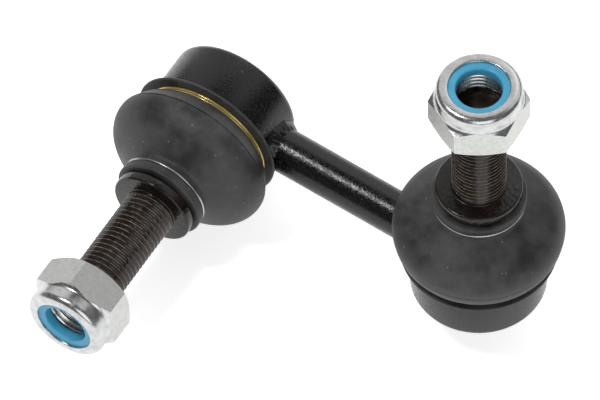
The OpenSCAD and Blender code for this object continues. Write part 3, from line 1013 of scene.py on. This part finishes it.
@dataclass(frozen=True)
class LockNut:
    """The hexagon nut with its round collar, its thread and its nylon ring."""

    place: Place
    turn: float
    thread: Thread = Thread()
    flats: float = 19.0
    corner: float = 10.9
    face: float = 9.1
    corner_round: float = 0.2
    chamfer: float = 30
    hex_height: float = 8.0
    collar: float = 9.4
    collar_round: float = 1.5
    fillet: float = 1.3
    mouth: float = 6.7
    mouth_round: float = 0.3
    bore: float = 6.3
    bore_bevel: float = 0.5
    ring_groove: float = 6.95
    thread_play: float = 0.12
    thread_least: float = 5.42
    ring_bore: float = 5.0
    ring_round: float = 0.5
    ring_play: float = 0.02
    thread_start: float = 0.6
    thread_wall: float = 0.05
    steps: int = 180

    def build(self) -> None:
        """Builds the nut, its thread and the nylon ring."""
        reach = self.place.reach("lock_nut")
        ring = self.place.reach("nylon_ring")
        self.place.add("nut_shell", self.shell(reach, ring), "lock_nut", "nut_body", ZINC, ZINC_FLAT)
        self.place.add("nut_thread", self.inner_thread(reach, ring), "lock_nut", "nut_body", ZINC)
        mesh = spin_profile(self.ring_profile(ring), self.steps)
        shade(mesh, 50)
        self.place.add("nylon_insert", mesh, "nylon_ring", "insert_body", NYLON)

    def shell(self, reach: Reach, ring: Reach) -> bmesh.types.BMesh:
        """Turns the nut's blank and cuts its six flats.

        Args:
            reach: Reach of the lock nut.
            ring: Reach of the nylon ring.

        Returns:
            The nut's mesh, with its flats as the second material.
        """
        mesh = spin_profile(self.blank_profile(reach, ring), self.steps)
        shade(mesh)
        for k in range(6):
            angle = math.radians(self.turn + 60 * k)
            way = Vector((math.cos(angle), math.sin(angle), 0))
            cut = bmesh.ops.bisect_plane(mesh, geom=mesh.verts[:] + mesh.edges[:] + mesh.faces[:], dist=1e-5,
                                         plane_co=way * self.flats / 2, plane_no=way, clear_outer=True)
            edges = [item for item in cut["geom_cut"] if isinstance(item, bmesh.types.BMEdge)]
            filled = bmesh.ops.edgeloop_fill(mesh, edges=edges)
            for face in filled["faces"]:
                face.material_index = 1
            for edge in edges:
                edge.smooth = False
        corners = [edge for edge in mesh.edges if all(face.material_index for face in edge.link_faces)]
        bmesh.ops.bevel(mesh, geom=corners, offset=self.corner_round, affect="EDGES", segments=3, profile=0.5,
                        material=-1)
        bmesh.ops.recalc_face_normals(mesh, faces=mesh.faces)
        return mesh

    def blank_profile(self, reach: Reach, ring: Reach) -> list[Point]:
        """Outlines half of the round blank, from its lower mouth around to the groove of the nylon ring.

        Args:
            reach: Reach of the lock nut.
            ring: Reach of the nylon ring.

        Returns:
            The closed outline.
        """
        slope = math.tan(math.radians(self.chamfer))
        drop = (self.corner - self.face) * slope
        hex_top = reach.low + self.hex_height
        toe = self.collar + self.fillet * (1 - math.sin(math.radians(self.chamfer)))
        toe_height = hex_top - (toe - self.face) * slope
        fillet = (self.collar + self.fillet, toe_height + self.fillet * math.cos(math.radians(self.chamfer)))
        edge = self.collar_round
        return [
            (self.bore, reach.low + self.bore_bevel),
            (self.bore + self.bore_bevel, reach.low),
            (self.face, reach.low),
            (self.corner, reach.low + drop),
            (self.corner, hex_top - drop),
            *arc(fillet, (self.fillet, self.fillet), 270 - self.chamfer, 180, 8),
            *arc((self.collar - edge, reach.high - edge), (edge, edge), 0, 90, 12),
            *bend((self.mouth + self.mouth_round, reach.high), (self.mouth, reach.high),
                  (self.mouth, reach.high - self.mouth_round), 5),
            (self.mouth, ring.high),
            (self.ring_groove, ring.high),
            (self.ring_groove, ring.low),
            (self.bore, ring.low),
        ]

    def inner_thread(self, reach: Reach, ring: Reach) -> bmesh.types.BMesh:
        """Winds the nut's own thread, with a plain wall behind it.

        Args:
            reach: Reach of the lock nut.
            ring: Reach of the nylon ring.

        Returns:
            The closed mesh.
        """
        low = reach.low + self.thread_start
        high = ring.low - self.thread_wall
        mesh = self.thread.wind(low, high, self.thread_play, self.thread_least)
        loops = []
        for height in (low, high):
            spun = bmesh.ops.extrude_edge_only(mesh, edges=boundary_loop(mesh, height))
            verts = [item for item in spun["geom"] if isinstance(item, bmesh.types.BMVert)]
            for vert in verts:
                scale = (self.bore + self.thread_wall) / math.hypot(vert.co.x, vert.co.y)
                vert.co.x *= scale
                vert.co.y *= scale
            loops += [item for item in spun["geom"] if isinstance(item, bmesh.types.BMEdge)]
        bmesh.ops.bridge_loops(mesh, edges=[edge for edge in loops if edge.is_boundary])
        bmesh.ops.recalc_face_normals(mesh, faces=mesh.faces)
        shade(mesh, 60)
        return mesh

    def ring_profile(self, ring: Reach) -> list[Point]:
        """Outlines half of the nylon ring, its inner edges rounded."""
        edge = (self.ring_round, self.ring_round)
        inner = self.ring_bore + self.ring_round
        low, high = ring.low + self.ring_play, ring.high - self.ring_play
        return [
            (ring.radius - self.ring_play, low),
            (ring.radius - self.ring_play, high),
            *arc((inner, high - self.ring_round), edge, 90, 180, 6),
            *arc((inner, low + self.ring_round), edge, 180, 270, 6),
        ]


@dataclass(frozen=True)
class Bar:
    """The connecting rod between the housings, with a weld bead at each end."""

    places: dict[Side, Place]
    radius: float = 5.0
    crossing: float = -29.5
    sunk: float = 0.6
    weld_leg: float = 2.1
    weld_rise: float = 1.2
    weld_ripple: float = 0.04
    weld_ripples: int = 20
    weld_lumps: float = 0.18
    weld_bits: float = 0.04
    lump_scale: float = 0.6
    bit_scale: float = 2.6
    weld_room: float = 0.75
    weld_least: float = 0.06
    steep: float = 0.05
    lengths: int = 24
    steps: int = 144

    def build(self) -> None:
        """Builds the bar and the two weld beads."""
        start = self.places[Side.A].point(self.crossing)
        end = self.places[Side.B].point(self.crossing)
        length = (end - start).length / MM
        wall = self.places[Side.A].reach("housing").radius - self.sunk
        step = (length - 2 * wall) / self.lengths
        sides = [(self.radius, wall + step * i) for i in range(self.lengths + 1)]
        bar = spin_profile([(0, wall), *sides, (0, length - wall)], self.steps, closed=False)
        shade(bar)
        add_rigid("rod_bar", bar, self.matrix(start, end), "connecting_rod", LINK, PAINT)
        for place, near, far in ((self.places[Side.A], start, end), (self.places[Side.B], end, start)):
            bead = self.bead(place, near, far)
            add_rigid(place.name("weld_seam"), bead, Matrix.Identity(4), place.name("weld_bead"), LINK, WELD)

    @staticmethod
    def matrix(start: Vector, end: Vector) -> Matrix:
        """From millimetres along the bar to the frame."""
        turn = UP.rotation_difference(end - start).to_matrix().to_4x4()
        return Matrix.Translation(start) @ turn @ Matrix.Scale(MM, 4)

    def bead_profile(self) -> list[Point]:
        """Outlines the bead's section: distance from the bar's axis, and from the housing's wall."""
        leg, rise = self.weld_leg, self.weld_rise
        crown = bend((rise, 0.0), (rise * 0.6, leg * 0.55), (0.0, leg), 12)
        return [(-0.5, -0.5), (rise * 0.9, -0.4), *crown, (-0.4, leg * 0.9)]

    def bead(self, place: Place, near: Vector, far: Vector) -> bmesh.types.BMesh:
        """Lays a bead around the bar where it meets a housing.

        Args:
            place: The joint whose housing it is.
            near: Where the bar's axis meets the joint's axis.
            far: The other end of the bar's axis.

        Returns:
            The bead's mesh, in the frame.
        """
        profile = [(self.radius + across, along) for across, along in self.bead_profile()]
        mesh = spin_profile(profile, 2 * self.steps)
        matrix = self.matrix(near, far)
        cup = place.reach("housing").radius
        ceiling = place.reach("boot").low - self.crossing
        back = place.matrix.inverted() @ matrix
        for vert in mesh.verts:
            angle = math.atan2(vert.co.y, vert.co.x)
            offset = Vector((vert.co.x, vert.co.y, 0))
            across = offset.length - self.radius
            rise = (back.to_3x3() @ offset.normalized()).z
            room = ceiling / max(rise, self.steep) - self.radius - self.weld_room
            lump = 1 + self.weld_ripple * math.sin(self.weld_ripples * angle)
            lump += self.weld_lumps * noise.noise(vert.co * self.lump_scale)
            lump += self.weld_bits * noise.noise(vert.co * self.bit_scale)
            leg = max(self.weld_least, min(1.0, room / self.weld_rise)) * lump
            new = offset.normalized() * (self.radius + across * (leg if across > 0 else 1))
            along = vert.co.z * (leg if vert.co.z > 0 else 1)
            vert.co = Vector((new.x, new.y, self.wall_at(back, new, cup) + along))
        mesh.transform(matrix)
        bmesh.ops.recalc_face_normals(mesh, faces=mesh.faces)
        shade(mesh, 60)
        return mesh

    @staticmethod
    def wall_at(back: Matrix, offset: Vector, cup: float) -> float:
        """Finds where a line beside the bar's axis meets a housing's wall.

        Args:
            back: From the bar's millimetres to the joint's.
            offset: The line's place beside the bar's axis.
            cup: Radius of the housing.

        Returns:
            The distance along the bar.
        """
        start = (back @ offset).to_2d()
        way = (back.to_3x3() @ UP).to_2d()
        along, square = start.dot(way), way.dot(way)
        inside = along ** 2 - square * (start.dot(start) - cup ** 2)
        return (math.sqrt(max(0.0, inside)) - along) / square


@dataclass(frozen=True)
class Lamp:
    """A soft square lamp that points at the middle of the link."""

    name: str
    azimuth: float
    elevation: float
    distance: float
    size: float
    power: float

    def build(self, target: Vector) -> None:
        """Hangs the lamp and turns it to the target."""
        data = bpy.data.lights.new(self.name, "AREA")
        data.shape = "SQUARE"
        data.size = self.size
        data.energy = self.power
        lamp = bpy.data.objects.new(self.name, data)
        bpy.context.scene.collection.objects.link(lamp)
        way = direction(self.azimuth, self.elevation)
        lamp.matrix_world = Matrix.Translation(target + way * self.distance) @ facing(way)


def direction(azimuth: float, elevation: float) -> Vector:
    """The way from the object to a viewer or a lamp, by its azimuth and elevation in degrees."""
    a, e = math.radians(azimuth), math.radians(elevation)
    return Vector((math.sin(a) * math.cos(e), -math.cos(a) * math.cos(e), math.sin(e)))


def facing(back: Vector, roll: float = 0.0) -> Matrix:
    """Turns a camera or a lamp so that it looks against a direction.

    Args:
        back: The way from the object to the camera or lamp.
        roll: Turn about that way, in degrees.

    Returns:
        The turn.
    """
    right = UP.cross(back).normalized()
    above = back.cross(right)
    turn = Matrix((right, above, back)).transposed().to_4x4()
    return turn @ Matrix.Rotation(math.radians(roll), 4, "Z")


@dataclass(frozen=True)
class Studio:
    """Pale floor, soft light and the camera."""

    azimuth: float = 32.6
    elevation: float = 55.44
    roll: float = -1.594
    distance: float = 1.87566
    target: Vector = Vector((-0.039077, -0.010495, -0.022093))
    image_width: int = 600
    focal_pixels: float = 8600
    sensor: float = 36
    clip: Point = (0.1, 20)
    floor_size: float = 6
    floor_colour: Colour = (0.93, 0.93, 0.93)
    floor_rough: float = 0.9
    floor_specular: float = 0.1
    floor_glow: float = 0.68
    world_strength: float = 0.16
    lamps: tuple[Lamp, ...] = (
        Lamp("key_lamp", -49, 66, 0.9, 0.16, 2.5),
        Lamp("back_right_lamp", 160, 40, 1.3, 1.2, 3.4),
        Lamp("back_left_lamp", -142, 32, 1.3, 1.5, 5.2),
        Lamp("front_lamp", 42, 30, 1.3, 0.9, 4.2),
    )

    def build(self) -> None:
        """Builds the floor, the world, the lamps and the camera."""
        self.add_floor()
        self.light_world()
        for lamp in self.lamps:
            lamp.build(self.target)
        self.add_camera()
        bpy.context.scene.view_settings.view_transform = "Standard"

    def add_floor(self) -> None:
        """Lays the floor just under the link."""
        mesh = bmesh.new()
        bmesh.ops.create_grid(mesh, x_segments=1, y_segments=1, size=self.floor_size / 2)
        bmesh.ops.translate(mesh, verts=mesh.verts, vec=(0, 0, CAD_BOX[0].z))
        data = bpy.data.meshes.new("floor")
        mesh.to_mesh(data)
        mesh.free()
        material = bpy.data.materials.new("floor_paper")
        material.use_nodes = True
        shader = material.node_tree.nodes["Principled BSDF"]
        shader.inputs["Base Color"].default_value = (*self.floor_colour, 1)
        shader.inputs["Roughness"].default_value = self.floor_rough
        shader.inputs["Specular IOR Level"].default_value = self.floor_specular
        self.whiten(Graph(material.node_tree), shader)
        data.materials.append(material)
        floor = bpy.data.objects.new("floor", data)
        bpy.context.scene.collection.objects.link(floor)

    def whiten(self, graph: Graph, shader: bpy.types.Node) -> None:
        """Lifts the floor to white where it is seen, so that it keeps only a faint shadow.

        Args:
            graph: The floor material's nodes.
            shader: The floor's surface.
        """
        path = graph.node("ShaderNodeLightPath")
        seen = graph.node("ShaderNodeMath", {0: path.outputs["Is Camera Ray"], 1: path.outputs["Is Glossy Ray"]},
                          operation="ADD")
        seen = graph.node("ShaderNodeMath", {0: seen.outputs[0], 1: path.outputs["Is Transmission Ray"]},
                          operation="ADD", use_clamp=True)
        glow = graph.spread(seen.outputs[0], 0.0, self.floor_glow)
        shader.inputs["Emission Color"].default_value = (1, 1, 1, 1)
        graph.tree.links.new(glow, shader.inputs["Emission Strength"])

    def light_world(self) -> None:
        """Fills the room with a dim, even light."""
        world = bpy.data.worlds.new("studio")
        world.use_nodes = True
        background = world.node_tree.nodes["Background"]
        background.inputs["Color"].default_value = (1, 1, 1, 1)
        background.inputs["Strength"].default_value = self.world_strength
        bpy.context.scene.world = world

    def add_camera(self) -> None:
        """Sets up the camera at the photograph's viewing angle."""
        data = bpy.data.cameras.new("camera")
        data.sensor_width = self.sensor
        data.lens = self.focal_pixels / self.image_width * self.sensor
        data.clip_start, data.clip_end = self.clip
        camera = bpy.data.objects.new("camera", data)
        bpy.context.scene.collection.objects.link(camera)
        back = direction(self.azimuth, self.elevation)
        camera.matrix_world = Matrix.Translation(self.target + back * self.distance) @ facing(back, self.roll)
        bpy.context.scene.camera = camera


def main() -> None:
    """Builds every piece of the link, and then the studio."""
    logging.basicConfig(level=logging.INFO, format="%(message)s")
    places = {side: Place.of(side) for side in Side}
    nut_turns = {Side.A: 4.0, Side.B: 2.0}
    band_slants = {Side.A: 2.2, Side.B: 0.4}
    Bar(places).build()
    for side, place in places.items():
        Housing(place).build()
        dress_node(place.name("ball_seat"), SEAT_PLASTIC)
        Boot(place, band_slants[side]).build()
        Rings(place).build()
        BallStud(place).build()
        LockNut(place, nut_turns[side]).build()
    Studio().build()


if __name__ == "__main__":
    main()
